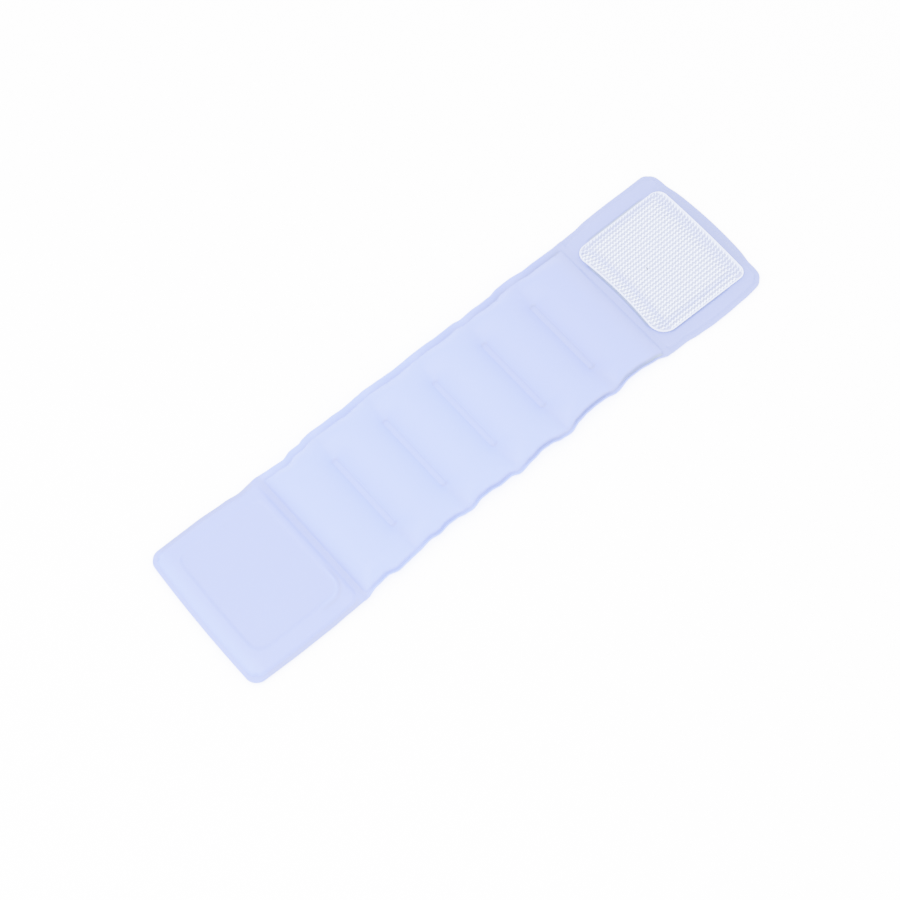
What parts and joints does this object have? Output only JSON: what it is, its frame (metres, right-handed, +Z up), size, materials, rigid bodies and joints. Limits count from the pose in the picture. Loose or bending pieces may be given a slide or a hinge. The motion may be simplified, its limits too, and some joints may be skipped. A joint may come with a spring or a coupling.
{
  "type": "cooling gel wristband",
  "caption": "Flat strip of two welded plastic films with a ribbed gel pouch between two end tabs, closed round a wrist by a hook patch and its mating loop patch.",
  "frame": {"origin": "centre of the bounding box in plan, on the surface the band lies on", "axes": "+X along the band towards the tab with the hook patch, +Y across it towards the back edge, +Z up"},
  "size_m": [0.2328, 0.06, 0.007],
  "materials": {
    "film": "matte pale lavender blue",
    "gel": "soft clear gel",
    "hook": "white hook tape",
    "loop": "white loop tape"
  },
  "bodies": {
    "root": {"top_film": "film", "bottom_film": "film", "gel_core": "gel", "hook_patch": "hook", "loop_patch": "loop"}
  },
  "joints": []
}
